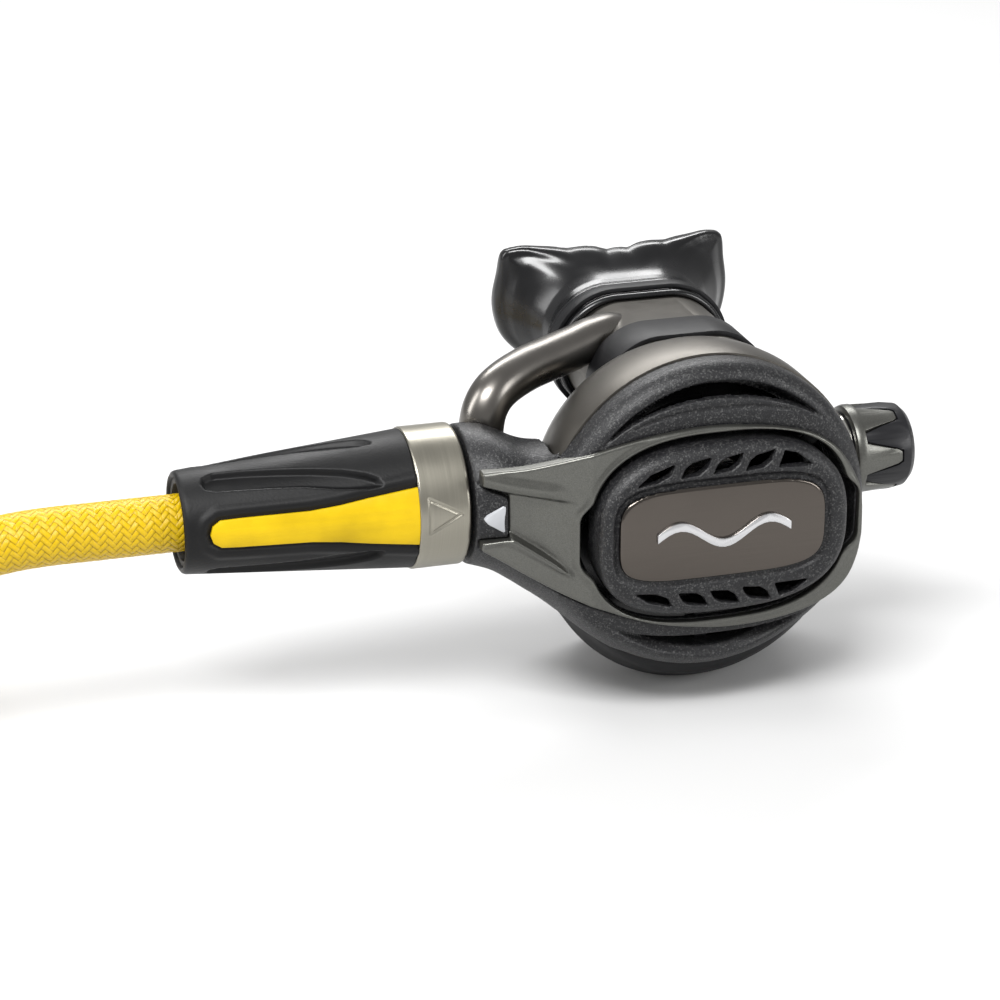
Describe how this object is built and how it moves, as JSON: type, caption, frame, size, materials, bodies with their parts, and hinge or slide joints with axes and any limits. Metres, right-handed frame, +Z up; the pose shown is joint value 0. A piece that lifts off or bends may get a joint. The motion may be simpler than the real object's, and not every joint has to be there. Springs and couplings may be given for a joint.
{
  "type": "diving regulator second stage on hose",
  "caption": "Adjustable diving regulator second stage with turning flow selector grip, purge button, mouthpiece and exhaust tee on a braided low-pressure hose.",
  "frame": {"origin": "middle of the flat foot of the exhaust tee, straight under the point where the round body axis crosses the valve axis", "axes": "+X along the valve axis toward the adjusting knob, +Y back toward the mouthpiece, +Z up"},
  "size_m": [0.4097, 0.1872, 0.092],
  "materials": {
    "bowl_metal": "satin",
    "plated_steel": "polished",
    "cover_polymer": "fine sparkling grain",
    "trim_metal": "metallic flake",
    "pointer_plastic": "gloss",
    "tee_plastic": "matt",
    "silicone": "smooth gloss",
    "steel": "bright",
    "poppet_plastic": "satin",
    "seal_rubber": "matt",
    "knob_plastic": "satin",
    "plate_metal": "brushed gloss",
    "ring_metal": "satin",
    "grip_rubber": "fine grain",
    "liner_rubber": "matt",
    "yellow_plastic": "gloss",
    "hose_braid": "glossy flat braid"
  },
  "bodies": {
    "base": {"housing": "bowl_metal", "valve_barrel": "plated_steel", "front_cover": "cover_polymer", "trim_frame": "trim_metal", "pointer_mark": "pointer_plastic", "inlet_arm": "cover_polymer", "bypass_tube": "bowl_metal", "label_band": "tee_plastic", "mouthpiece": "silicone", "mouthpiece_clamp": "tee_plastic", "exhaust_tee": "tee_plastic", "exhaust_valve": "silicone", "cover_ring": "tee_plastic", "diaphragm": "silicone", "lever_pin": "steel", "poppet_spring": "steel", "orifice": "plated_steel", "knob_oring": "seal_rubber", "knob_nut": "plated_steel", "purge_spring": "steel", "inlet_tube": "plated_steel", "journal": "tee_plastic", "hose_nut": "plated_steel", "hose_ferrule": "plated_steel", "hose": "hose_braid", "hose_coil": "hose_braid", "end_ferrule": "plated_steel", "end_fitting": "plated_steel", "end_oring": "seal_rubber"},
    "selector": {"selector_ring": "ring_metal", "selector_grip": "grip_rubber", "selector_liner": "liner_rubber", "selector_inlay": "yellow_plastic"},
    "purge": {"purge_button": "cover_polymer", "purge_plate": "plate_metal", "purge_badge": "plate_metal"},
    "sensing_disc": {"diaphragm_disc": "steel"},
    "lever": {"demand_lever": "steel"},
    "valve_poppet": {"poppet": "poppet_plastic", "poppet_seat": "seal_rubber"},
    "knob": {"knob_collar": "trim_metal", "knob_grip": "knob_plastic", "knob_screw": "plated_steel"},
    "piston": {"balance_piston": "plated_steel", "balance_oring": "seal_rubber"}
  },
  "joints": [
    {"name": "selector_turn", "type": "hinge", "parent": "base", "child": "selector", "pos_m": [0, 0, 0.056], "axis": [1, 0, 0], "range_deg": [0, 70]},
    {"name": "purge_press", "type": "slide", "parent": "base", "child": "purge", "axis": [0, 1, 0], "range_m": [0, 0.0035], "stiffness_N_per_m": 400, "springref_m": -0.0005, "deforming": ["purge_spring"]},
    {"name": "disc_travel", "type": "slide", "parent": "base", "child": "sensing_disc", "axis": [0, 1, 0], "range_m": [0, 0.0035]},
    {"name": "lever_swing", "type": "hinge", "parent": "base", "child": "lever", "pos_m": [0.014, -0.0096, 0.056], "axis": [0, 0, 1], "range_deg": [-10.5, 0]},
    {"name": "poppet_travel", "type": "slide", "parent": "base", "child": "valve_poppet", "axis": [1, 0, 0], "range_m": [0, 0.0009], "deforming": ["poppet_spring"]},
    {"name": "knob_turn", "type": "hinge", "parent": "base", "child": "knob", "pos_m": [0, 0, 0.056], "axis": [-1, 0, 0], "range_deg": [0, 720]},
    {"name": "piston_travel", "type": "slide", "parent": "base", "child": "piston", "axis": [-1, 0, 0], "range_m": [0, 0.00161], "deforming": ["poppet_spring"]}
  ],
  "couplings": [
    {"joint": "disc_travel", "follows": "purge_press", "ratio": 1},
    {"joint": "lever_swing", "follows": "purge_press", "rad_per_m": -50},
    {"joint": "poppet_travel", "follows": "purge_press", "ratio": 0.25},
    {"joint": "piston_travel", "follows": "knob_turn", "m_per_rad": 0.0001273}
  ]
}
